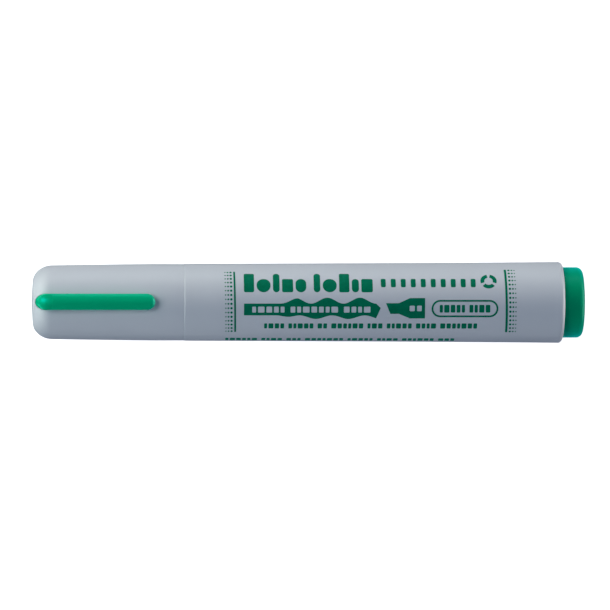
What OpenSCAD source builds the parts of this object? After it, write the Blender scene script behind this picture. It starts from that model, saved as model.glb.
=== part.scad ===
// Capped whiteboard marker with a chisel nib, lying along X: cap towards -X, tail towards +X, clip on top.
// Every piece is drawn standing on Z, with z = 0 at the tip of the closed cap, and lay() puts it down.
// Outlines for rotate_extrude are lists of [radius, z]. Millimetres.

/* [Whole marker] */
// Length from the tip of the cap to the tail's end face
total_len = 136; // [134:1:140]
// Length of the closed cap, from its tip to the seam with the barrel
cap_len = 37.5; // [37:0.5:39]
// Length of the tail plug that stands out behind the barrel
tail_len = 4.9; // [4:0.1:6]

/* [Barrel] */
// Outer diameter at the seam
barrel_front_d = 18.97; // [18.9:0.01:19.2]
// Growth in diameter from the seam to the rear, even along the barrel
barrel_taper = 0.76; // [0.4:0.02:1]
// Growth in diameter that is gathered near the rear
barrel_flare = 0.30; // [0:0.02:0.5]
// Diameter of the neck that the cap slides over
neck_d = 17.2; // [17:0.1:17.3]
// Number of ribs that centre the reservoir in the bore
barrel_ribs = 6; // [4:1:8]

/* [Cap] */
// Outer diameter where the rounded end begins
cap_end_d = 18.18; // [18:0.02:18.4]
// Radius of the rounded end
cap_round = 5; // [4.5:0.1:5.5]
// Clear diameter of the mouth, wide enough to go over the tail plug too
cap_mouth_d = 17.5; // [17.5:0.05:17.6]
// Number of ribs that hold the inner cap
cap_ribs = 6; // [3:1:6]

/* [Clip] */
// Width of the clip
clip_w = 4.0; // [3.4:0.1:4.4]
// Distance from the cap's tip to the free end of the clip
clip_end = 30.2; // [28:0.1:31]
// Height of the clip's top above the marker's axis
clip_top = 12.0; // [11.8:0.05:12.4]
// Radius of the crown across the clip's top
clip_crown = 3.0; // [2.6:0.1:4]

/* [Nib] */
// Width of the nib, across its slanted edge
nib_w = 6.2; // [5.6:0.1:6.4]
// Thickness of the nib
nib_t = 4.2; // [3.8:0.1:4.4]
// Length of the nib that stands out of its holder
nib_out = 8; // [7:0.5:8.5]
// Slant of the chisel edge, in degrees
nib_slant = 28; // [20:1:32]

/* [Reservoir and tail] */
// Diameter of the wrapped ink reservoir
reservoir_d = 14.8; // [14.4:0.1:14.8]
// Diameter of the tail plug where it shows
tail_d = 17.44; // [17.2:0.02:17.5]
// Radius of the rounding round the tail's end face
tail_round = 1.7; // [1.2:0.1:2]

/* [Hidden] */
$fn = 96;

// Stations along the marker
barrel_end = total_len - tail_len;
seam_gap = 0.12;
holder_face = 17;
collar_z = 29.2;
collar_r = neck_d / 2 - 0.5;
neck_z = 31;
core_z = 41.3;
core_end = 117;
nib_tip = holder_face - nib_out;
nib_tail = core_z + 5.7;

// Fits and walls
edge = 0.2;
slip = 0.02;
press = 0.03;
neck_bore_r = reservoir_d / 2 + 0.05;
film_t = 0.15;
rest_r = (barrel_front_d + barrel_taper + barrel_flare) / 2;

// Cap
shoulder = [cap_end_d / 2 - cap_round, cap_round - 0.1];
corner_angle = 66;
corner = shoulder + cap_round * [cos(corner_angle), -sin(corner_angle)];
dome_r = (pow(corner.x, 2) + pow(corner.y, 2)) / (2 * corner.y);
cap_wall = 1.3;
cap_floor = 1.5;
draft_end = 30;
cap_bore_r = cap_mouth_d / 2 - 0.35;
cap_side_r = barrel_front_d / 2 - 0.03;
snap_z = 34.4;
liner_r = 6.45;
liner_bore_r = 5.7;
liner_end = 27.3;
cap_rib_t = 0.8;
cap_rib_r = 8.6;
cap_rib_z = [3.1, 26];

// Clip
clip_under = 10.15;
clip_split = 5.45;
base_face = clip_split - 0.15;
slot_play = 0.1;
tip_round = 0.9;
nose_z = 1.05;
nose_rise = 8.5;
peg_bottom = 6.7;
barb = 0.45;
barb_top = 7.5;

// Bore of the barrel, widening to the rear, and the ribs in it
bore_front_r = 8.15;
bore_rear_r = 8.28;
barrel_rib_t = 1;
barrel_rib_r = 8.7;

// Tail plug
skirt_r = 8.40;
skirt_z = 118.1;
tail_wall = 1.3;
plug_beads = [122, 127];

function arc(centre, r, from, to, steps) = [
    for (i = [0:steps])
        let (a = from + (to - from) * i / steps)
        centre + r * [cos(a), sin(a)]
];

// Barrel radius at height z: an even taper, and a flare that grows with the fourth power
function barrel_r(z) =
    let (u = (z - cap_len) / (barrel_end - cap_len))
    (barrel_front_d + barrel_taper * u + barrel_flare * pow(u, 4)) / 2;

module lay() {
    translate([-total_len / 2, 0, rest_r]) rotate([0, 90, 0]) rotate([0, 0, 180]) children();
}

// A prism with a flat-sided oval section, long side along Y
module oval_prism(width, thickness, height) {
    linear_extrude(height) {
        square([thickness, width - thickness], center = true);
        for (side = [-1, 1]) translate([0, side * (width - thickness) / 2]) circle(d = thickness);
    }
}

// Longitudinal ribs spaced round the axis, between two radii
module ribs(count, thickness, inner_r, outer_r, z0, z1, turn = 0) {
    for (i = [0:count - 1])
        rotate([0, 0, turn + 360 * i / count])
            translate([inner_r, -thickness / 2, z0])
                cube([outer_r - inner_r, thickness, z1 - z0]);
}

// A small raised or sunken ring round the axis, with sloping sides
module ring(r, height, width, z, root = 0.5) {
    rotate_extrude()
        polygon([
            [r - root, z - width / 2], [r, z - width / 2], [r + height, z - width / 6],
            [r + height, z + width / 6], [r, z + width / 2], [r - root, z + width / 2]
        ]);
}

// Cap: outer shell, inner cap, and the clip in two pieces

function cap_outside() = concat(
    arc([0, dome_r], dome_r, -90, -90 + asin(corner.x / dome_r), 4),
    arc(shoulder, cap_round, -corner_angle + 6, 0, 8),
    [[cap_side_r - 0.03, draft_end]],
    arc([cap_side_r - edge, cap_len - seam_gap / 2 - edge], edge, 0, 90, 3)
);

function cap_inside() = concat(
    [
        [cap_mouth_d / 2 + 0.3, cap_len - seam_gap / 2],
        [cap_mouth_d / 2, cap_len - seam_gap / 2 - 0.4],
        [cap_mouth_d / 2, neck_z + 0.2],
        [cap_bore_r, neck_z - 0.1]
    ],
    arc(shoulder, cap_round - cap_wall, 0, -asin((shoulder.y - cap_floor) / (cap_round - cap_wall)), 6),
    [[0, cap_floor]]
);

// Outline of the clip's root seen from above, with a round front and a square back
module root_outline(play) {
    translate([nose_z + clip_w / 2, 0]) circle(d = clip_w + 2 * play);
    translate([nose_z + clip_w / 2, -clip_w / 2 - play])
        square([base_face - nose_z - clip_w / 2 + play, clip_w + 2 * play]);
}

// Stands that outline up, so that it runs outwards from radius r0 to r1 on the clip's side
module outwards(r0, r1) {
    translate([r1, 0, 0]) rotate([0, -90, 0]) linear_extrude(r1 - r0) children();
}

module cap_shell() {
    color("#b4bec8") difference() {
        union() {
            rotate_extrude() polygon(concat(cap_outside(), cap_inside()));
            ribs(cap_ribs, cap_rib_t, liner_r + slip, cap_rib_r, cap_rib_z[0], cap_rib_z[1], 180 / cap_ribs);
        }
        ring(cap_mouth_d / 2, 0.15, 1.4, snap_z);
        outwards(peg_bottom - slot_play, clip_top + 1) root_outline(slot_play);
    }
}

module inner_cap() {
    color("#e6e9ea") rotate_extrude() polygon(concat(
        [[0, cap_floor + slip]],
        arc([liner_r - 1.4, cap_floor + slip + 1.4], 1.4, -90, 0, 5),
        [
            [liner_r, liner_end - 0.3], [liner_r - 0.3, liner_end],
            [liner_bore_r + 0.35, liner_end], [liner_bore_r - 0.04, liner_end - 1.2],
            [liner_bore_r - 0.04, liner_end - 2.2], [liner_bore_r, liner_end - 2.6]
        ],
        arc([liner_bore_r - 0.6, cap_floor + 1.6], 0.6, 0, -90, 4),
        [[0, cap_floor + 1]]
    ));
}

// Section across the clip: straight sides under a crowned top
module clip_section(bottom) {
    intersection() {
        translate([clip_top - clip_crown, 0]) circle(clip_crown);
        translate([bottom, -clip_w / 2]) square([clip_top - bottom, clip_w]);
    }
}

module clip_base() {
    rise = clip_top - nose_rise;
    run = base_face - nose_z;
    side = concat(
        [for (i = [0:10]) [base_face - run * cos(9 * i), nose_rise + rise * sin(9 * i)]],
        [
            [base_face, barb_top], [base_face + barb, barb_top - 0.15], [base_face + barb, barb_top - 0.3],
            [base_face, peg_bottom], [nose_z, peg_bottom]
        ]
    );
    color("#009a6b") intersection() {
        rotate([90, 0, 0]) translate([0, 0, -clip_w])
            linear_extrude(2 * clip_w) polygon([for (p = side) [p.y, p.x]]);
        outwards(peg_bottom, clip_top) {
            root_outline(0);
            translate([base_face - 1, -clip_w / 2]) square([1 + barb, clip_w]);
        }
        union() {
            translate([clip_top - clip_crown, 0, 0]) cylinder(r = clip_crown, h = 2 * base_face);
            translate([0, -clip_w / 2, 0]) cube([clip_top - 1, clip_w, 2 * base_face]);
        }
    }
}

module clip_arm() {
    color("#009a6b") union() {
        intersection() {
            linear_extrude(clip_end) clip_section(clip_under);
            outwards(clip_under - 1, clip_top + 1) {
                translate([clip_split, -clip_w]) square([clip_end - clip_w / 2 - clip_split, 2 * clip_w]);
                translate([clip_end - clip_w / 2, 0]) circle(d = clip_w);
            }
            rotate([90, 0, 0]) translate([0, 0, -clip_w]) linear_extrude(2 * clip_w)
                polygon(concat(
                    [[clip_under, 0], [clip_under, clip_end]],
                    arc([clip_top - tip_round, clip_end - tip_round], tip_round, 90, 0, 4),
                    [[clip_top, 0]]
                ));
        }
        translate([clip_under + 0.2, 0, clip_end - clip_w / 2])
            rotate([90, 0, 0]) cylinder(r = 0.78, h = clip_w - 1.2, center = true);
    }
}

// Barrel and what it holds

// Quarter of an ellipse from the barrel's side to its end face
function barrel_rim(along, across, steps) = [
    for (i = [0:steps])
        let (a = 90 * i / steps)
        [rest_r - across * (1 - cos(a)), barrel_end - along * (1 - sin(a))]
];

function barrel_side(steps) = [
    for (i = [1:steps])
        let (z = cap_len + 0.5 + (barrel_end - 1.4 - cap_len) * i / steps)
        [barrel_r(z), z]
];

module barrel() {
    shoulder_z = cap_len + seam_gap / 2;
    color("#b0bac4") union() {
        rotate_extrude() polygon(concat(
            [
                [neck_bore_r, neck_z], [neck_d / 2 - 0.3, neck_z], [neck_d / 2, neck_z + 0.5],
                [neck_d / 2, shoulder_z]
            ],
            arc([barrel_front_d / 2 - edge, shoulder_z + edge], edge, -90, 0, 3),
            barrel_side(10),
            barrel_rim(0.85, 1.2, 6),
            [
                [skirt_r + press + 0.2, barrel_end], [skirt_r + press, barrel_end - 0.3],
                [skirt_r + press, skirt_z - 0.1], [bore_rear_r, skirt_z - 0.1],
                [bore_front_r, core_z + 1], [neck_bore_r, core_z]
            ]
        ));
        ribs(barrel_ribs, barrel_rib_t, reservoir_d / 2 + slip, barrel_rib_r, core_z + 0.5, core_end - 1);
        ring(neck_d / 2, 0.09, 0.9, snap_z);
    }
}

module nib_holder() {
    snout_r = 5.5;
    chamber_r = 6.5;
    color("#c3ccd4") difference() {
        union() {
            rotate_extrude() polygon(concat(
                [[0, holder_face], [4.3, holder_face]],
                arc([4.3, holder_face + 0.7], 0.7, -90, -5, 4),
                [[snout_r, 26.6], [7.3, collar_z]],
                arc([collar_r - 0.4, collar_z + 0.4], 0.4, -90, 0, 3),
                [
                    [collar_r, neck_z - slip], [neck_bore_r - 0.01, neck_z - slip],
                    [neck_bore_r - 0.01, core_z - 0.5], [neck_bore_r - 0.3, core_z - slip],
                    [chamber_r, core_z - slip], [chamber_r, neck_z + 1], [0, neck_z + 1]
                ]
            ));
            ring(snout_r - 0.02, 0.12, 1, 25.6);
        }
        translate([0, 0, holder_face - 1]) oval_prism(nib_w + 0.04, nib_t + 0.04, neck_z + 4 - holder_face);
        for (side = [-1, 1])
            translate([side * nib_t / 2, 0, (holder_face + neck_z + 1) / 2])
                cube([1.2, 1.6, neck_z - holder_face + 4], center = true);
    }
}

module nib() {
    span = nib_w * tan(nib_slant);
    bevel = 5;
    lip = 0.9;
    color("#0b5d43") intersection() {
        translate([0, 0, nib_tip]) oval_prism(nib_w, nib_t, nib_tail - nib_tip);
        rotate([90, 0, 90]) translate([0, 0, -nib_t])
            linear_extrude(2 * nib_t)
                polygon([
                    [-nib_w / 2, nib_tip], [nib_w / 2, nib_tip + span], [nib_w / 2, nib_tail],
                    [-nib_w / 2, nib_tail]
                ]);
        rotate([90, 0, 0]) translate([0, 0, -nib_w])
            linear_extrude(2 * nib_w)
                polygon([
                    [-lip, nib_tip], [lip, nib_tip], [nib_t / 2, nib_tip + bevel],
                    [nib_t / 2, nib_tail - 2], [nib_t / 4, nib_tail], [-nib_t / 4, nib_tail],
                    [-nib_t / 2, nib_tail - 2], [-nib_t / 2, nib_tip + bevel]
                ]);
    }
}

module reservoir_core() {
    color("#3c8f73") difference() {
        translate([0, 0, core_z]) cylinder(r = reservoir_d / 2 - film_t - slip, h = core_end - core_z);
        translate([0, 0, core_z - 1]) oval_prism(nib_w + 0.04, nib_t + 0.04, nib_tail - core_z + 1 + slip);
    }
}

module reservoir_film() {
    color("#dfe8ea", 0.5) translate([0, 0, core_z]) difference() {
        cylinder(r = reservoir_d / 2, h = core_end - core_z);
        translate([0, 0, -1]) cylinder(r = reservoir_d / 2 - film_t, h = core_end - core_z + 2);
    }
}

module tail_plug() {
    tail_r = tail_d / 2;
    inner_r = skirt_r - tail_wall;
    floor_z = total_len - 1.6;
    color("#00916a") union() {
        rotate_extrude() polygon(concat(
            [
                [inner_r, skirt_z], [skirt_r - 0.3, skirt_z], [skirt_r, skirt_z + 0.6],
                [skirt_r, barrel_end + slip], [tail_r, barrel_end + slip]
            ],
            arc([tail_r - tail_round, total_len - tail_round], tail_round, 0, 90, 8),
            [[0, total_len], [0, floor_z]],
            arc([inner_r - 0.6, floor_z - 0.6], 0.6, 90, 0, 3)
        ));
        for (z = plug_beads) ring(skirt_r, press, 1.2, z);
        for (turn = [0, 90])
            rotate([0, 0, turn])
                translate([-inner_r - 0.5, -0.6, core_end + slip])
                    cube([2 * inner_r + 1, 1.2, floor_z + 0.5 - core_end]);
    }
}

lay() cap_shell();
lay() inner_cap();
lay() clip_base();
lay() clip_arm();
lay() barrel();
lay() nib_holder();
lay() nib();
lay() reservoir_core();
lay() reservoir_film();
lay() tail_plug();
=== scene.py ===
import math

import bmesh
import bpy
from mathutils import Matrix, Vector


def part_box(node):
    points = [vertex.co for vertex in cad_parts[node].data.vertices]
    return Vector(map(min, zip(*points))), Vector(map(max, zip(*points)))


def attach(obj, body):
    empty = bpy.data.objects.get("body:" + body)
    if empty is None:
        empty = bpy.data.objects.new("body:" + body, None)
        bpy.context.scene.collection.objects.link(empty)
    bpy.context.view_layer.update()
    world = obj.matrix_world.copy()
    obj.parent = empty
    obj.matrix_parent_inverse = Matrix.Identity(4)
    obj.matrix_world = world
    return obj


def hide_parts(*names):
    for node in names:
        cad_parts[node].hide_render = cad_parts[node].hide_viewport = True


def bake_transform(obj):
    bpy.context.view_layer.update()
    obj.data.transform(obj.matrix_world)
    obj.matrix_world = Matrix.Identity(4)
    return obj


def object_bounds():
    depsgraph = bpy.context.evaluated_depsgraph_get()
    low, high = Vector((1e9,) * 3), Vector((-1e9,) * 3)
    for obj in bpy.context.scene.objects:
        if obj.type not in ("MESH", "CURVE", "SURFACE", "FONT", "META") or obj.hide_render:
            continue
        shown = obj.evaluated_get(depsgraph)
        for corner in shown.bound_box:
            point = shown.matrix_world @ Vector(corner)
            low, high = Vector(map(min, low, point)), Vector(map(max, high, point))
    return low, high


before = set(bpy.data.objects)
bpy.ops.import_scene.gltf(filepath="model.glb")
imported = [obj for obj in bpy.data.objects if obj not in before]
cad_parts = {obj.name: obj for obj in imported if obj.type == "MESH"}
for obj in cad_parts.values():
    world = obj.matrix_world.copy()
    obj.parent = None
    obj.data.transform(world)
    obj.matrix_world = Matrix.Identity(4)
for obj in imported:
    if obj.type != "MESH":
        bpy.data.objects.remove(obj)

# The looks of a capped whiteboard marker, lying along X with its clip up.
# Shapes are worked out along the marker: t is the distance from the tip of the closed cap, r the distance
# from its axis and turn the angle round it from the clip's line, positive towards +Y. They are in
# millimetres and degrees, and place() takes them to metres in the shared frame.

MM = 0.001
CAD_LOW, CAD_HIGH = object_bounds()
BARREL_LOW, BARREL_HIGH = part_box("barrel")
CAP_LOW, CAP_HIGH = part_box("cap_shell")
PLUG_LOW, PLUG_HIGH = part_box("tail_plug")
CLIP_LOW, CLIP_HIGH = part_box("clip_arm")
ROOT_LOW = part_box("clip_base")[0]
NIB_LOW, NIB_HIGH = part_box("nib")

TIP_X = CAP_LOW.x
AXIS_Z = (BARREL_LOW.z + BARREL_HIGH.z) / 2
TOTAL = (PLUG_HIGH.x - TIP_X) / MM
REST_R = (BARREL_HIGH.z - BARREL_LOW.z) / 2 / MM
BARREL_END = (BARREL_HIGH.x - TIP_X) / MM
CAP_END = (CAP_HIGH.x - TIP_X) / MM
NECK_START = (BARREL_LOW.x - TIP_X) / MM
NOSE = (ROOT_LOW.x - TIP_X) / MM
CLIP_TIP = (CLIP_HIGH.x - TIP_X) / MM
CLIP_TOP = (CLIP_HIGH.z - AXIS_Z) / MM
CLIP_UNDER = (CLIP_LOW.z - AXIS_Z) / MM

# The taper runs from SEAM. The line between cap and barrel shows a little nearer the cap, at VISIBLE_SEAM,
# and the barrel's rear rim at REAR.
SEAM = CAP_END + 0.06
VISIBLE_SEAM = SEAM - 0.14
REAR = BARREL_END - 0.12
SEAM_R = 9.485
TAPER, FLARE = 0.38, 0.15
CLIP_HALF, NOSE_LONG = 1.98, 2.55

CREASE = 28.0
RIGHT_ANGLE = 90


def place(t, r, turn=0.0):
    """A point on or in the marker, in metres in the shared frame."""
    a = math.radians(turn)
    return Vector((TIP_X + t * MM, r * MM * math.sin(a), AXIS_Z + r * MM * math.cos(a)))


def upright(t, y, z):
    """A point from its distance along the marker, across it and over its axis, in millimetres."""
    return Vector((TIP_X + t * MM, y * MM, AXIS_Z + z * MM))


def barrel_r(t):
    """The barrel's radius: an even taper, and a flare gathered near the rear."""
    u = (t - SEAM) / (BARREL_END - SEAM)
    return SEAM_R + TAPER * u + FLARE * u ** 4


def arc(centre, radius, start, end, steps):
    """Points round part of a circle in the (t, r) plane; 0 degrees points along the marker, 90 outwards."""
    turns = [math.radians(turn) for turn in spread(start, end, steps)]
    return [(centre[0] + radius * math.cos(a), centre[1] + radius * math.sin(a)) for a in turns]


def spread(start, end, steps):
    """Even values from start to end, both included."""
    return [start + (end - start) * i / steps for i in range(steps + 1)]


# ---------------------------------------------------------------- meshes

def finish_mesh(name, bm, sharp=CREASE):
    """Turns a bmesh into an object with smooth faces and sharp creases."""
    bmesh.ops.remove_doubles(bm, verts=bm.verts, dist=2e-7)
    bmesh.ops.recalc_face_normals(bm, faces=bm.faces)
    mesh = bpy.data.meshes.new(name)
    bm.to_mesh(mesh)
    bm.free()
    mesh.shade_smooth()
    mesh.set_sharp_from_angle(angle=math.radians(sharp))
    obj = bpy.data.objects.new(name, mesh)
    bpy.context.collection.objects.link(obj)
    return obj


def bridge(bm, rings):
    """Joins each ring of points to the next with faces."""
    count = len(rings[0])
    for a, b in zip(rings, rings[1:]):
        for i in range(count):
            j = (i + 1) % count
            bm.faces.new((a[i], a[j], b[j], b[i]))


def lathe(name, outline, segments=192):
    """A solid of revolution about the marker's axis, from a closed outline of (t, r) points."""
    bm = bmesh.new()
    rings = []
    for t, r in outline:
        if r < 1e-6:
            rings.append([bm.verts.new(place(t, 0))] * segments)
        else:
            rings.append([bm.verts.new(place(t, r, 360 * i / segments)) for i in range(segments)])
    for a, b in zip(rings, rings[1:] + rings[:1]):
        for i in range(segments):
            j = (i + 1) % segments
            corners = []
            for v in (a[i], a[j], b[j], b[i]):
                if v not in corners:
                    corners.append(v)
            if len(corners) > 2:
                bm.faces.new(corners)
    return finish_mesh(name, bm)


def evaluated_mesh(obj):
    """A new mesh of obj as it stands with its modifiers."""
    return bpy.data.meshes.new_from_object(obj.evaluated_get(bpy.context.evaluated_depsgraph_get()))


def cut(obj, cutter):
    """Takes the cutter's volume out of obj for good, and removes the cutter."""
    mod = obj.modifiers.new("cut", "BOOLEAN")
    mod.operation = "DIFFERENCE"
    mod.solver = "EXACT"
    mod.object = cutter
    bpy.context.view_layer.update()
    done = evaluated_mesh(obj)
    obj.modifiers.clear()
    obj.data = done
    bpy.data.objects.remove(cutter)
    done.shade_smooth()
    done.set_sharp_from_angle(angle=math.radians(CREASE))
    return obj


def prism(name, outline, low, high, to_world):
    """A straight prism from a flat outline; to_world(a, b, c) places a point of it, c from low to high."""
    bm = bmesh.new()
    bottom = [bm.verts.new(to_world(a, b, low)) for a, b in outline]
    top = [bm.verts.new(to_world(a, b, high)) for a, b in outline]
    bm.faces.new(bottom)
    bm.faces.new(list(reversed(top)))
    for i in range(len(outline)):
        j = (i + 1) % len(outline)
        bm.faces.new((bottom[i], top[i], top[j], bottom[j]))
    return finish_mesh(name, bm)


def pill(width, length, steps=16):
    """A flat outline with round ends, its long side along the second direction."""
    half = width / 2
    run = (length - width) / 2
    points = []
    for side, start in ((1, 0), (-1, math.pi)):
        for i in range(steps + 1):
            a = start + math.pi * i / steps
            points.append((half * math.cos(a), side * run + half * math.sin(a)))
    return points


# ---------------------------------------------------------------- pieces

def make_cap():
    """The cap's shell: a shallow dome, a round shoulder, a side that narrows to it, and the clip's slot."""
    shoulder, round_r, wall = (4.9, 4.09), 5.0, 1.3
    dome_edge = math.radians(66)
    corner = (shoulder[0] - round_r * math.sin(dome_edge), shoulder[1] + round_r * math.cos(dome_edge))
    dome_r = (corner[0] ** 2 + corner[1] ** 2) / (2 * corner[0])
    dome = [(dome_r - math.sqrt(dome_r ** 2 - r ** 2), r) for r in spread(0.0, corner[1] - 0.35, 12)]
    ball = arc(shoulder, round_r, 152, RIGHT_ANGLE, 30)

    side_r = SEAM_R - 0.03
    side_end, side_long, narrowing = 30, 25.1, 0.335
    side = [
        (t, side_r - 0.03 - narrowing * max(0.0, (side_end - t) / side_long) ** 1.15)
        for t in spread(shoulder[0], side_end, 24)
    ][1:]
    mouth = VISIBLE_SEAM - 0.01
    lip = [(34.0, side_r - 0.03), (mouth - 0.30, side_r - 0.045), (mouth - 0.02, side_r - 0.05)]
    lip += [(mouth, side_r - 0.07)]

    bore, bead, liner_end, liner_r = 8.75, 8.88, 30.9, 8.40
    inside = [(mouth, 9.05), (mouth - 0.4, bore), (35.2, bore), (34.6, bead), (34.2, bead), (33.6, bore)]
    inside += [(31.2, bore), (liner_end, liner_r)]
    inside += [(t, liner_r - 0.61 * (liner_end - t) / 26) for t in spread(28, shoulder[0], 10)]
    inside += arc(shoulder, round_r - wall, RIGHT_ANGLE, 155, 10) + [(1.5, 4.0), (1.5, 0.0)]
    cap = lathe("cap", dome + ball + side + lip + inside, 256)

    side_play, nose_play, slot_end, slot_low, slot_high = 0.04, 0.16, 5.62, 6.6, 13.0
    half = CLIP_HALF + side_play
    long = NOSE_LONG + nose_play
    turns = [math.pi * i / 28 for i in range(29)]
    outline = [(NOSE - nose_play + long * (1 - math.sin(a)), half * math.cos(a)) for a in turns]
    outline += [(slot_end, -half), (slot_end, half)]
    return cut(cap, prism("slot", outline, slot_low, slot_high, upright))


def make_liner():
    """The inner cap: a thin cup with a soft lip that closes over the nib holder's snout."""
    end, bore, outer, base, floor = 27.3, 5.7, 6.45, 1.52, 0.98
    outline = [(base, 0.0), (base, 2.5)] + arc((base + 1.4, outer - 1.4), 1.4, 180, RIGHT_ANGLE, 10)
    outline += [(t, outer) for t in spread(4, end - 0.5, 6)]
    outline += arc((end - 0.3, outer - 0.3), 0.3, RIGHT_ANGLE, 0, 5)
    outline += [(end, bore + 0.35), (end - 0.5, bore + 0.12), (end - 1.2, bore - 0.04)]
    outline += [(end - 2.2, bore - 0.04), (end - 2.6, bore)]
    outline += [(t, bore) for t in spread(20, 4, 6)]
    outline += arc((base + 1.58, bore - 0.6), 0.6, RIGHT_ANGLE, 180, 6)
    outline += [(base + floor, 2.5), (base + floor, 0.0)]
    return lathe("inner_cap_liner", outline, 128)


def clip_top_at(t):
    """Height of the clip's crown line over the axis: level, then a crease and down round the nose."""
    bend, crease, dip, fall = 5.25, 0.03, 0.38, 1.5
    if t >= bend:
        return CLIP_TOP
    u = min(1.0, (bend - t) / (bend - NOSE))
    return CLIP_TOP - crease - dip * u - fall * (1 - max(0.0, 1 - u ** 2.8) ** 0.6)


def clip_bottom_at(t):
    """Height of the clip's underside: deep in the slot at the root, and clear of the cap along the arm."""
    under, root, fillet, in_slot = CLIP_UNDER + 0.2, 5.3, 0.55, 7.3
    if t <= root:
        return in_slot
    if t < root + fillet:
        return under - (fillet - math.sqrt(fillet ** 2 - (root + fillet - t) ** 2))
    return under


def make_clip():
    """One moulding: a pill in plan, crowned on top, wrapping the cap's rounding at the nose."""
    tip, half, turns = CLIP_TIP + 0.1, CLIP_HALF, 28
    side_edge, nose_edge, tip_edge = 0.26, 0.34, 0.94
    spine = [NOSE + NOSE_LONG] + spread(3.8, 5.2, 9) + [5.24, 5.26, 5.3, 5.301, 5.36, 5.45, 5.6, 5.85]
    spine += spread(6.4, tip - half, 30)
    # each step round the plan: where it starts on the spine, its direction, and how much the edge is rounded
    around = []
    for i in range(turns + 1):
        a = math.pi / 2 + math.pi * i / turns
        rounding = side_edge + nose_edge * math.cos(a) ** 2
        around.append((spine[0], NOSE_LONG / half * math.cos(a), math.sin(a), rounding))
    around += [(t, 0.0, -1.0, side_edge) for t in spine[1:-1]]
    for i in range(turns + 1):
        a = -math.pi / 2 + math.pi * i / turns
        rounding = side_edge + tip_edge * math.cos(a) ** 2
        around.append((spine[-1], math.cos(a), math.sin(a), rounding))
    around += [(t, 0.0, 1.0, side_edge) for t in reversed(spine[1:-1])]

    def along(step, rho):
        return step[0] + step[1] * rho

    def drop(step, rho):
        """How far the top falls from the crown line: the crown's curve across, and the rounded edge."""
        edge = step[3]
        side = min(abs(step[2]) * rho, half - 0.16)
        nearness = max(0.0, min(1.0, (5.2 - along(step, rho)) / 1.6))
        crown = 2.62 + 1.6 * nearness
        over = min(edge, max(0.0, rho - (half - edge)))
        return crown - math.sqrt(crown ** 2 - side ** 2) + edge - math.sqrt(max(0.0, edge ** 2 - over ** 2))

    # both lists go outwards in rho, the distance from the spine; the second one comes back in underneath
    tops = [0.0, 0.2] + [half - 1.5 * (1 - math.sin(math.radians(a))) for a in range(0, RIGHT_ANGLE + 1, 5)]
    under = [(half + 0.03, 0.30), (half - 0.02, 0.12), (half - 0.15, 0.02), (half - 0.35, 0.0), (1.1, 0.0)]
    under += [(0.5, 0.0), (0.0, 0.0)]
    bm = bmesh.new()
    rings = []
    for rho in tops:
        ring = []
        for step in around:
            t = along(step, rho)
            ring.append(bm.verts.new(upright(t, step[2] * rho, clip_top_at(t) - drop(step, rho))))
        rings.append(ring)
    for rho, rise in under:
        ring = []
        for step in around:
            z = clip_bottom_at(along(step, min(rho, half))) + rise
            ring.append(bm.verts.new(upright(along(step, rho), step[2] * rho, z)))
        rings.append(ring)
    bridge(bm, rings)
    # the first and last rings are folded onto the spine, which closes the top and the bottom
    bmesh.ops.remove_doubles(bm, verts=bm.verts, dist=1e-6)
    bmesh.ops.dissolve_degenerate(bm, edges=bm.edges, dist=1e-7)
    bmesh.ops.holes_fill(bm, edges=bm.edges, sides=0)
    return finish_mesh("clip", bm, 35)


def make_grip():
    """The low rib across the underside of the clip's free end that grips a pocket."""
    radius, half, segments = 0.78, 1.4, 32
    centre_t, centre_z = CLIP_TIP - 2.0, CLIP_UNDER + radius
    bm = bmesh.new()
    rings = []
    turns = [2 * math.pi * i / segments for i in range(segments)]
    rounding = ((0.25, 0.55), (0.12, 0.85), (0.0, 1.0))
    ends = [(-half - past, shrink) for past, shrink in rounding]
    ends += [(half + past, shrink) for past, shrink in reversed(rounding)]
    for y, shrink in ends:
        reach = radius * shrink
        rings.append([
            bm.verts.new(upright(centre_t + reach * math.cos(a), y, centre_z + reach * math.sin(a)))
            for a in turns
        ])
    bridge(bm, rings)
    bm.faces.new(rings[0])
    bm.faces.new(rings[-1])
    return finish_mesh("clip_grip", bm)


def make_barrel():
    """The barrel's shell: neck with its bead, shoulder at the seam, tapered side, rounded rim and bore."""
    neck_r, neck_edge, bead, bore_r = 8.6, 0.3, 0.08, 7.45
    start = VISIBLE_SEAM + 0.01
    outline = [(NECK_START, bore_r), (NECK_START, neck_r - neck_edge)]
    outline += arc((NECK_START + neck_edge, neck_r - neck_edge), neck_edge, 180, RIGHT_ANGLE, 5)[1:]
    outline += [(33.95, neck_r), (34.25, neck_r + bead), (34.55, neck_r + bead), (34.85, neck_r)]
    shoulder_r = 0.80
    outline += [(start, neck_r), (start, SEAM_R - 0.32), (start, SEAM_R - 0.13)]
    outline += arc((start + 0.40, SEAM_R - shoulder_r), shoulder_r, 120, RIGHT_ANGLE, 8)
    outline += [(t, barrel_r(t)) for t in spread(SEAM + 0.8, REAR - 1.1, 56)]
    rim_long, rim_deep = 1.0, 1.2
    for turn in spread(0, RIGHT_ANGLE, 18):
        a = math.radians(turn)
        outline.append((REAR - rim_long * (1 - math.sin(a)), REST_R - rim_deep * (1 - math.cos(a))))
    plug_bore, plug_end, ink_end = 8.43, 118.0, 41.3
    outline += [(REAR, 8.63), (REAR - 0.2, plug_bore), (plug_end, plug_bore), (plug_end, 8.28)]
    outline += [(ink_end + 1.0, 8.15), (ink_end, bore_r)]
    return lathe("barrel_body_shell", outline, 256)


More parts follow.
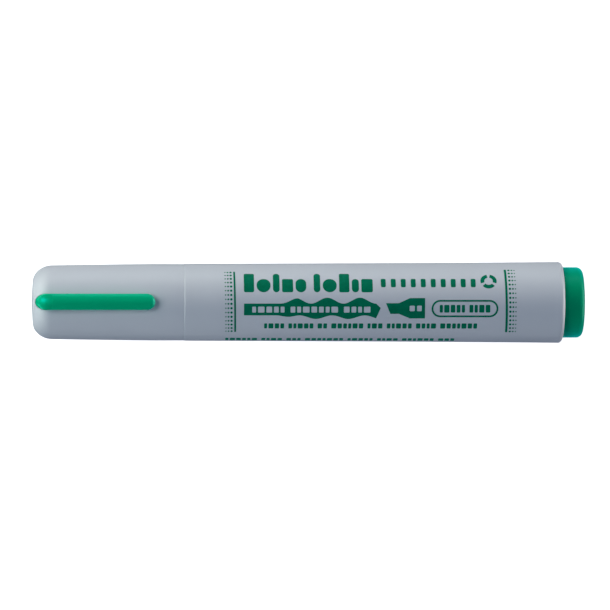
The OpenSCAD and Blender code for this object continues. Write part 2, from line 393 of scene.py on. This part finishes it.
def make_plug():
    """The tail plug: a cup with a rounded end, a shallow dish in its face and a small gate mark there."""
    r, bend, inner, floor = (PLUG_HIGH.z - PLUG_LOW.z) / 2 / MM, 1.5, 7.1, TOTAL - 1.6
    outline = [(118.1, inner), (118.1, 8.1), (118.7, 8.4), (REAR + 0.02, 8.4), (REAR + 0.02, r - 0.08)]
    outline += [(REAR + 0.10, r)]
    outline += [(t, r) for t in spread(REAR + 0.5, TOTAL - bend - 0.3, 5)]
    outline += arc((TOTAL - bend, r - bend), bend, RIGHT_ANGLE, 0, 24)
    outline += [(TOTAL, 6.0), (TOTAL, 4.4), (TOTAL - 0.03, 4.25), (TOTAL - 0.10, 4.1), (TOTAL - 0.12, 2.0)]
    outline += [(TOTAL - 0.12, 0.9), (TOTAL - 0.06, 0.75), (TOTAL - 0.05, 0.0)]
    outline += [(floor, 0.0), (floor, 4.0)] + arc((floor - 0.6, inner - 0.6), 0.6, 0, RIGHT_ANGLE, 6)
    return lathe("tail_plug_cup", outline, 192)


def make_holder():
    """The nib holder: a snout with a sealing bead, a cone, and a collar that stops on the neck."""
    face, snout, collar, back, tail_r, tail_end = 17.0, 5.5, 8.1, 32.0, 6.5, 41.28
    outline = [(tail_end, tail_r), (back, tail_r), (back, 0.0), (face, 0.0), (face, 3.6), (face + 0.02, 4.3)]
    outline += arc((face + 0.7, 4.3), 0.7, 180, 95, 8)
    outline += [(24.9, 5.41), (25.1, 5.42), (25.4, 5.58), (25.8, 5.6), (26.1, 5.48), (26.6, snout)]
    outline += [(27.6, 6.15), (29.0, 7.15)]
    outline += arc((29.6, collar - 0.4), 0.4, 180, RIGHT_ANGLE, 6)
    outline += [(30.9, collar), (30.98, collar - 0.08), (30.98, 7.44), (41.2, 7.44)]
    holder = lathe("nib_holder_moulding", outline, 128)

    def lengthwise(z, y, t):
        return upright(t, y, z)

    channel = pill(4.24, 6.24)
    half_tall, half_wide, middle = 0.6, 0.8, 2.1
    holder = cut(holder, prism("channel", channel, face - 1, 35, lengthwise))
    for side in (-1, 1):
        low, high = side * middle - half_tall, side * middle + half_tall
        vent = [(low, -half_wide), (high, -half_wide), (high, half_wide), (low, half_wide)]
        holder = cut(holder, prism("vent", vent, face - 1, 35, lengthwise))
    return holder


def make_nib():
    """Bonded fibre ground to a slanted chisel; the flat faces stay soft at their edges."""
    low, high = (NIB_LOW.x - TIP_X) / MM, (NIB_HIGH.x - TIP_X) / MM
    wide, thick, slant, bevel, edge = 6.2, 4.2, math.tan(math.radians(28)), 5.0, 0.9
    lean_long = 14.0
    section = pill(thick - 0.02, wide - 0.02, 14)
    # how far from the edge each ring stands, and how much it is drawn in to soften the edge
    stations = [(0.0, 0.72), (0.04, 0.85), (0.14, 0.94)]
    stations += [(d, 1.0) for d in (0.35, 0.8, 1.5, 2.5, 3.6, 4.6, bevel, 5.3, 6.5, 9.0, lean_long, 24.0)]
    stations += [(high - low - 6.0, 1.0)]
    bm = bmesh.new()
    rings = []
    for d, pull in stations:
        fade = max(0.0, 1 - d / lean_long)
        room = edge + (thick / 2 - edge) * min(1.0, d / bevel)
        room -= 0.06 * math.exp(-((d - bevel) / 0.6) ** 2)
        ring = []
        for a, b in section:
            z = max(-room, min(room, a)) * pull
            y = -b * (1 - (1 - pull) * 0.25)
            lean = (b + wide / 2) * slant * fade
            ring.append(bm.verts.new(upright(low + d + lean, y, z)))
        rings.append(ring)
    bridge(bm, rings)
    bm.faces.new(rings[0])
    bm.faces.new(rings[-1])
    return finish_mesh("nib_felt", bm, 40)


# ---------------------------------------------------------------- print on the barrel

class Print:
    """Flat artwork, laid round the barrel as a thin film of ink. x runs along the marker from its middle and
    s round it from the clip's line, both in millimetres. Shapes inside shapes are left clear."""

    def __init__(self):
        self.loops = []

    def loop(self, points):
        """Any closed outline of (x, s) points."""
        self.loops.append(points)

    def block(self, x0, x1, s0, s1, corner=0.12, steps=4):
        """A rectangle with rounded corners."""
        c = min(corner, (x1 - x0) / 2.01, (s1 - s0) / 2.01)
        centres = ((x1 - c, s1 - c), (x0 + c, s1 - c), (x0 + c, s0 + c), (x1 - c, s0 + c))
        points = []
        for k, centre in enumerate(centres):
            points += arc(centre, c, RIGHT_ANGLE * k, RIGHT_ANGLE * (k + 1), steps)
        self.loop(points)

    def dot(self, x, s, size, steps=16):
        """A round dot."""
        turns = [2 * math.pi * i / steps for i in range(steps)]
        self.loop([(x + size / 2 * math.cos(a), s + size / 2 * math.sin(a)) for a in turns])

    def row(self, x0, x1, s0, s1, widths, gap, corner):
        """A row of rounded blocks, scaled to fit from x0 to x1. A width below 0 is a space."""
        total = sum(abs(w) for w in widths) + gap * (len(widths) - 1)
        scale = (x1 - x0) / total
        x = x0
        for w in widths:
            if w > 0:
                self.block(x, x + w * scale, s0, s1, corner)
            x += (abs(w) + gap) * scale

    def words(self, x0, x1, s0, s1, lengths):
        """Small blocks in groups, which stand where a line of words would be."""
        widths = []
        for n, length in enumerate(lengths):
            widths += [0.9 + 0.2 * ((i * 3 + n) % 4) for i in range(length)] + [-0.5]
        self.row(x0, x1, s0, s1, widths[:-1], 0.42, 0.2)

    def flat_mesh(self, name):
        """The filled outlines as a flat mesh."""
        curve = bpy.data.curves.new(name, "CURVE")
        curve.dimensions = "2D"
        curve.fill_mode = "BOTH"
        for points in self.loops:
            spline = curve.splines.new("POLY")
            spline.points.add(len(points) - 1)
            spline.points.foreach_set("co", [c for x, s in points for c in (x, s, 0.0, 1.0)])
            spline.use_cyclic_u = True
        holder = bpy.data.objects.new(name, curve)
        bpy.context.collection.objects.link(holder)
        bpy.context.view_layer.update()
        flat = evaluated_mesh(holder)
        bpy.data.objects.remove(holder)
        return flat

    def build(self, name):
        """Wraps the artwork on the barrel, sunk a little into it and standing a little proud."""
        strip, strip_from, sunk, proud = 0.4, 0.013, 0.02, 0.02
        bm = bmesh.new()
        bm.from_mesh(self.flat_mesh(name))
        bmesh.ops.remove_doubles(bm, verts=bm.verts, dist=1e-4)
        # cut into narrow strips along the marker, so that it bends round the barrel
        reach = int(max(abs(v.co.y) for v in bm.verts) / strip)
        for k in range(-reach, reach + 1):
            everything = bm.verts[:] + bm.edges[:] + bm.faces[:]
            edge = (0, k * strip + strip_from, 0)
            bmesh.ops.bisect_plane(bm, geom=everything, plane_co=edge, plane_no=(0, 1, 0), dist=1e-5)
        middle = TOTAL / 2
        for v in bm.verts:
            t = v.co.x + middle
            r = barrel_r(t)
            v.co = place(t, r - sunk, math.degrees(v.co.y / r))
        made = bmesh.ops.extrude_face_region(bm, geom=bm.faces[:], use_keep_orig=True)
        axis = Vector((0, 0, AXIS_Z))
        for v in [part for part in made["geom"] if isinstance(part, bmesh.types.BMVert)]:
            out = Vector((0, v.co.y, v.co.z)) - axis
            v.co += out.normalized() * (sunk + proud) * MM
        return finish_mesh(name, bm, 30)


def ribbon(x0, x1, low, high, swell_low, swell_high, count, steps=120):
    """A plain stripe that runs level, then swells above and below in even waves, to a blunt point."""
    level, ramp, point, point_up, lag = 0.26, 0.15, 1.1, 0.4, 2.2
    top = []
    bottom = []
    for i in range(steps + 1):
        u = i / steps
        grow = max(0.0, min(1.0, (u - level) / ramp))
        turn = 2 * math.pi * count * max(0.0, u - level) / (1 - level)
        x = x0 + (x1 - point - x0) * u
        top.append((x, high + swell_high * grow * (1 - math.cos(turn)) / 2))
        bottom.append((x, low - swell_low * grow * (1 - math.cos(turn + lag)) / 2))
    return top + [(x1, (low + high) / 2 + point_up)] + bottom[::-1]


def print_rules(art):
    """A rule at each end of the print, a touch askew, with rows of dots that shrink away from it."""
    first_row, rows, past, lean = -8.08, 16, 0.28, 0.016
    for rule, wide, away, spacing in ((-18.2, 0.45, -1, 1.087), (48.45, 0.55, 1, 1.137)):
        lines = [k * spacing + first_row for k in range(rows)]
        low, high = lines[0] - past, lines[-1] + past
        corners = ((1, high), (-1, high), (-1, low), (1, low))
        art.loop([(rule + side * wide / 2 - lean * s, s) for side, s in corners])
        for s in lines:
            for distance, size in ((0.88, 0.58), (1.62, 0.46), (2.26, 0.34)):
                art.dot(rule + away * distance - lean * s, s, size)


def print_title(art):
    """Two groups of bold blocks and rounds, some taller."""
    x, low, middling, tall, gap = -16.0, 2.4, 6.0, 7.7, 0.62
    tall_block, block, round_end = (2.5, tall, 0.4), (2.7, middling, 0.4), (1.6, tall, 0.8)
    large_round, small_round, slim_round = (3.4, middling, 1.7), (2.6, middling, 1.3), (1.7, middling, 0.85)
    space, last = (0.6, 0, 0), (2.8, middling, 0.4)
    for wide, high, corner in (tall_block, large_round, round_end, block, small_round, space,
                               round_end, large_round, tall_block, slim_round, last):
        if high:
            art.block(x, x + wide, low, high, corner, 8)
        x += wide + gap


def print_sign(art):
    """A ring of three plain arcs."""
    middle, outer, inner = (44.1, 5.4), 2.0, 1.05
    for k in range(3):
        sweep = [math.radians(120 * k + 12 + 96 * i / 12) for i in range(13)]
        outside = [(middle[0] + outer * math.sin(a), middle[1] + outer * math.cos(a)) for a in sweep]
        inside = [(middle[0] + inner * math.sin(a), middle[1] + inner * math.cos(a)) for a in sweep]
        art.loop(outside + inside[::-1])


def print_nib(art):
    """The sign of a chisel nib, with its body and two blocks knocked out of it."""
    tip, cone, body, end = 18.8, 22.0, 24.7, 28.4
    upper = [(tip, -0.3), (cone, -0.3), (body, 0.95), (end, 0.95)]
    lower = [(end, -4.15), (body, -4.15), (cone, -2.95), (19.9, -2.95)]
    art.loop(upper + lower)
    art.block(24.6, 25.9, -2.3, -0.9, 0.25)
    art.block(26.4, 27.6, -2.3, -0.9, 0.25)


def make_print():
    """All the print on the barrel: plain shapes only, no lettering."""
    art = Print()
    print_rules(art)
    print_title(art)
    art.row(17.6, 40.9, 3.7, 6.05, (1.25,) * 10, 1.3, 0.3)
    print_sign(art)
    art.loop(ribbon(-16.0, 17.5, -3.35, -0.42, 0.95, 1.45, 3))
    art.words(-14.0, 15.0, -2.65, -1.15, (5, 7, 4))
    print_nib(art)
    # an outlined pill with blocks in it
    line, left, right_end, low, high, corner = 0.44, 30.0, 46.4, -3.82, 0.5, 2.14
    art.block(left, right_end, low, high, corner, 10)
    art.block(left + line, right_end - line, low + line, high - line, corner - line, 10)
    art.words(32.0, 44.4, -2.62, -0.72, (5, 4))
    # two lines of small blocks below
    art.words(-11.0, 41.3, -7.1, -5.55, (4, 5, 2, 6, 3, 5, 4, 7))
    art.words(-20.4, 36.0, -13.0, -11.2, (6, 4, 3, 7, 5, 4, 6, 3))
    return art.build("barrel_print")


# ---------------------------------------------------------------- materials

def colour(r, g, b):
    """An sRGB colour, 0 to 255, as the linear values a shader takes."""
    def linear(c):
        c /= 255
        return c / 12.92 if c <= 0.04045 else ((c + 0.055) / 1.055) ** 2.4
    return (linear(r), linear(g), linear(b), 1.0)


class Nodes:
    """Short names for the few node kinds that the finishes are made of."""

    def __init__(self, name):
        self.mat = bpy.data.materials.new(name)
        self.mat.use_nodes = True
        self.tree = self.mat.node_tree
        self.shader = self.tree.nodes["Principled BSDF"]
        self.where = self.tree.nodes.new("ShaderNodeTexCoord").outputs["Object"]

    def give(self, socket, value):
        """Links a socket to an input, or sets the input's value."""
        if isinstance(value, bpy.types.NodeSocket):
            self.tree.links.new(value, socket)
        else:
            socket.default_value = value

    def put(self, kind, inputs, **settings):
        node = self.tree.nodes.new("ShaderNode" + kind)
        for key, value in settings.items():
            setattr(node, key, value)
        for key, value in inputs.items():
            self.give(node.inputs[key], value)
        return node

    def drawn_out(self, x):
        """Object coordinates squeezed along x, which draws a pattern out lengthwise."""
        return self.put("Mapping", {"Vector": self.where, "Scale": (x, 1.0, 1.0)}).outputs[0]

    def noise(self, scale, detail, rough=0.55, vector=None):
        inputs = {"Vector": vector or self.where, "Scale": scale, "Detail": detail, "Roughness": rough}
        return self.put("TexNoise", inputs).outputs["Fac"]

    def span(self, value, low, high, from_low=0.3, from_high=0.7):
        inputs = {"Value": value, "From Min": from_low, "From Max": from_high, "To Min": low, "To Max": high}
        return self.put("MapRange", inputs).outputs[0]

    def mix(self, factor, a, b):
        node = self.put("Mix", {}, data_type="RGBA")
        for number, value in ((0, factor), (6, a), (7, b)):
            self.give(node.inputs[number], value)
        return node.outputs[2]

    def maths(self, kind, a, b):
        return self.put("Math", {0: a, 1: b}, operation=kind).outputs[0]

    def bump(self, height, depth, strength, normal=None):
        inputs = {"Height": height, "Distance": depth, "Strength": strength}
        if normal:
            inputs["Normal"] = normal
        return self.put("Bump", inputs).outputs[0]

    def set(self, **values):
        for key, value in values.items():
            self.give(self.shader.inputs[key.replace("_", " ")], value)
        return self.mat


def moulded(name, base, vary, rough, grain=1.0, scuff=1.0, glint=(1.0, 1.0, 1.0), bloom=0.0, shine=0.5):
    """Satin moulded plastic: fine erosion grain, lengthwise handling scuffs and a slightly uneven gloss."""
    n = Nodes(name)
    drift = n.span(n.noise(70.0, 2.0), 0.0, 1.0)
    lighter = tuple(min(1.0, c * (1 + vary)) for c in base[:3]) + (1.0,)
    darker = tuple(c * (1 - vary) for c in base[:3]) + (1.0,)
    tint = n.mix(drift, darker, lighter)
    scratch = n.noise(420.0, 2.0, 0.6, n.drawn_out(0.12))
    lines = n.span(scratch, 0.0, 1.0, 0.60, 0.72)
    speck = n.noise(9000.0, 1.0)
    dull = n.maths("MULTIPLY", lines, 0.06 * scuff)
    gloss = n.maths("ADD", n.span(n.noise(160.0, 3.0), rough[0], rough[1]), dull)
    skin = n.bump(speck, 0.000004 * grain, 0.6)
    skin = n.bump(scratch, 0.000012 * scuff, 0.35, skin)
    glow = glint + (1.0,)
    return n.set(Base_Color=tint, Roughness=gloss, Normal=skin, Specular_IOR_Level=shine, Specular_Tint=glow,
                 Sheen_Weight=bloom, Sheen_Roughness=0.45, Sheen_Tint=glow)


def ink_print():
    """Pad-printed ink: dense green with pinholes and a slightly rougher skin than the plastic."""
    n = Nodes("print_ink")
    fleck = n.span(n.noise(5200.0, 2.0), 0.0, 1.0, 0.30, 0.42)
    dense = n.mix(n.span(n.noise(900.0, 2.0), 0.0, 1.0), colour(0, 106, 74), colour(0, 118, 86))
    tint = n.mix(fleck, colour(16, 128, 90), dense)
    gloss = n.span(n.noise(700.0, 2.0), 0.40, 0.52)
    skin = n.bump(n.noise(6000.0, 2.0), 0.000004, 0.5)
    return n.set(Base_Color=tint, Roughness=gloss, Normal=skin, Specular_IOR_Level=0.25,
                 Specular_Tint=(0.0, 1.0, 0.7, 1.0), Sheen_Weight=0.15, Sheen_Roughness=0.4,
                 Sheen_Tint=(0.0, 1.0, 0.75, 1.0))


def felt():
    """Bonded polyester fibre, soaked with ink, with paler dry patches."""
    n = Nodes("nib_fibre")
    strands = n.noise(2600.0, 3.0, 0.65, n.drawn_out(0.08))
    soak = n.mix(n.span(strands, 0.0, 1.0), colour(4, 92, 66), colour(22, 134, 98))
    dry = n.span(n.noise(500.0, 2.0), 0.0, 0.35)
    tint = n.mix(dry, soak, colour(54, 150, 118))
    skin = n.bump(strands, 0.00005, 0.8)
    return n.set(Base_Color=tint, Roughness=n.span(strands, 0.78, 0.92), Normal=skin,
                 Sheen_Weight=0.25, Sheen_Roughness=0.5)


def fibre_rod():
    """Bundled lengthwise fibres of the reservoir, wet with ink."""
    n = Nodes("reservoir_fibre")
    strands = n.noise(1500.0, 4.0, 0.7, n.drawn_out(0.03))
    tint = n.mix(n.span(strands, 0.0, 1.0), colour(52, 128, 102), colour(112, 176, 152))
    return n.set(Base_Color=tint, Roughness=n.span(strands, 0.7, 0.9), Normal=n.bump(strands, 0.00006, 0.7))


def film_wrap():
    """Thin clear film with faint drawn lines."""
    n = Nodes("reservoir_wrap")
    lines = n.noise(700.0, 2.0, 0.5, n.drawn_out(0.05))
    tint = n.mix(n.span(lines, 0.0, 1.0), colour(214, 224, 226), colour(236, 242, 243))
    skin = n.bump(lines, 0.00001, 0.4)
    return n.set(Base_Color=tint, Roughness=n.span(lines, 0.16, 0.3), Normal=skin, Alpha=0.55)


def floor_sheet():
    """Plain pale paper that glows evenly, like a light table."""
    n = Nodes("floor_paper")
    tint = n.mix(n.span(n.noise(900.0, 2.0), 0.0, 1.0), (0.90, 0.90, 0.90, 1.0), (0.93, 0.93, 0.93, 1.0))
    gloss = n.span(n.noise(300.0, 2.0), 0.85, 0.95)
    return n.set(Base_Color=tint, Roughness=gloss, Specular_IOR_Level=0.0,
                 Emission_Color=(1.0, 1.0, 1.0, 1.0), Emission_Strength=0.93)


# ---------------------------------------------------------------- assembly

def add(obj, body, material, slot, *nodes):
    """Finishes a piece: its material, the CAD nodes it stands for and the body it rides on. The slot is not
    used.
    """
    obj.data.materials.clear()
    obj.data.materials.append(material)
    if nodes:
        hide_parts(*nodes)
    if body:
        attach(obj, body)
    return obj


SHELL = moulded("shell_plastic", colour(206, 211, 217), 0.012, (0.40, 0.48))
GREEN = moulded("clip_plastic", colour(0, 182, 122), 0.012, (0.272, 0.28), grain=0.8, scuff=0.3,
                glint=(0.0, 1.0, 1.0), bloom=0.5, shine=0.8)
DEEP = moulded("plug_plastic", colour(0, 151, 102), 0.015, (0.29, 0.32), grain=0.8, scuff=0.5,
               glint=(0.0, 1.0, 0.95), bloom=0.9, shine=0.25)
LINER = moulded("liner_plastic", colour(226, 229, 229), 0.02, (0.44, 0.54), grain=1.2, scuff=0.4)
HOLDER = moulded("holder_plastic", colour(205, 210, 216), 0.02, (0.32, 0.42))

add(make_barrel(), "barrel_body", SHELL, "pale_shell", "barrel")
add(make_holder(), "barrel_body", HOLDER, "holder_plastic", "nib_holder")
add(make_nib(), "barrel_body", felt(), "inked_felt", "nib")
add(make_plug(), "barrel_body", DEEP, "green_plastic", "tail_plug")
add(make_print(), "barrel_body", ink_print(), "green_plastic")
add(make_cap(), "cap_body", SHELL, "pale_shell", "cap_shell")
add(make_liner(), "cap_body", LINER, "natural_liner", "inner_cap")

# The clip is one piece across the CAD's hinge, and rides on no body.
clip = add(make_clip(), None, GREEN, "green_plastic", "clip_base", "clip_arm")
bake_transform(clip)
add(make_grip(), "clip_body", GREEN, "green_plastic")

for node, material in (("reservoir_core", fibre_rod()), ("reservoir_film", film_wrap())):
    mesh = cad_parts[node].data
    mesh.materials.clear()
    mesh.materials.append(material)


# ---------------------------------------------------------------- floor, light and camera

def paper(name, bm, height):
    """A stage sheet of glowing paper that neither lights the marker nor shows in its gloss."""
    sheet = finish_mesh(name, bm)
    sheet.data.materials.append(floor_sheet())
    sheet.location.z = height
    sheet.visible_diffuse = False
    sheet.visible_glossy = False
    return sheet


def make_floor():
    """A flat sheet just under the marker."""
    bm = bmesh.new()
    bmesh.ops.create_grid(bm, x_segments=2, y_segments=2, size=6.0)
    paper("floor", bm, CAD_LOW.z - 0.00005)


def make_backdrop():
    """A round wall near the floor's edge, for the low views. It lets all light through."""
    radius, tall = 5.9, 3.0
    bm = bmesh.new()
    bmesh.ops.create_cone(bm, cap_ends=False, segments=96, radius1=radius, radius2=radius, depth=tall)
    wall = paper("backdrop", bm, tall / 2)
    wall.visible_shadow = False


def soft_light(name, place_at, wide, tall, power, tint):
    """A rectangular lamp at place_at that faces the marker."""
    light = bpy.data.lights.new(name, "AREA")
    light.shape = "RECTANGLE"
    light.size = wide
    light.size_y = tall
    light.energy = power
    light.color = tint
    obj = bpy.data.objects.new(name, light)
    bpy.context.collection.objects.link(obj)
    obj.location = place_at
    obj.rotation_euler = (Vector((0, 0, 0.01)) - Vector(place_at)).to_track_quat("-Z", "Y").to_euler()


def make_world():
    """A faint blue fill from all round."""
    world = bpy.data.worlds.new("studio")
    world.use_nodes = True
    background = world.node_tree.nodes["Background"]
    background.inputs["Color"].default_value = (0.2, 0.32, 1.0, 1.0)
    background.inputs["Strength"].default_value = 0.12
    bpy.context.scene.world = world


def make_camera():
    """The camera looks almost straight down, from a little towards the cap's side."""
    distance, yaw, pitch, side, across = 1.1, math.radians(2.5), math.radians(0.5), -0.00064, -0.00067
    camera = bpy.data.objects.new("camera", bpy.data.cameras.new("camera"))
    bpy.context.collection.objects.link(camera)
    camera.data.sensor_width = 36.0
    camera.data.lens = 262.85
    camera.data.clip_start = 0.05
    camera.data.clip_end = 20.0
    right = Vector((math.cos(yaw), 0.0, math.sin(yaw)))
    up = Vector((-math.sin(pitch) * math.sin(yaw), math.cos(pitch), math.sin(pitch) * math.cos(yaw)))
    back = right.cross(up)
    camera.location = Vector((0, 0, AXIS_Z)) + back * distance + right * side + up * across
    camera.rotation_mode = "QUATERNION"
    camera.rotation_quaternion = Matrix((right, up, back)).transposed().to_quaternion()
    bpy.context.scene.camera = camera


make_floor()
make_backdrop()
soft_light("far_low", (0, 0.75, 0.06), 0.9, 0.10, 0.45, (0.71, 0.89, 1.0))
soft_light("far", (0, 0.74, 0.22), 1.0, 0.30, 1.03, (1.0, 0.96, 0.89))
soft_light("far_left", (-0.55, 0.50, 0.13), 0.8, 0.26, 3.25, (0.98, 1.0, 0.86))
soft_light("near_left", (-0.60, -0.38, 0.15), 0.5, 0.25, 2.16, (0.90, 1.0, 0.92))
soft_light("left_high", (-0.55, 0.14, 0.68), 0.36, 0.36, 2.30, (0.94, 1.0, 0.98))
soft_light("right_high", (0.5, 0, 0.6), 0.15, 0.15, 0.30, (0.82, 0.98, 1.0))
soft_light("right_low", (0.9, 0, 0.014), 0.9, 0.022, 6.0, (1.0, 0.95, 0.86))
soft_light("right_far", (0.7, 0.55, 0.08), 0.5, 0.12, 0.70, (1.0, 0.90, 0.76))
make_world()
make_camera()
bpy.context.scene.view_settings.view_transform = "Standard"
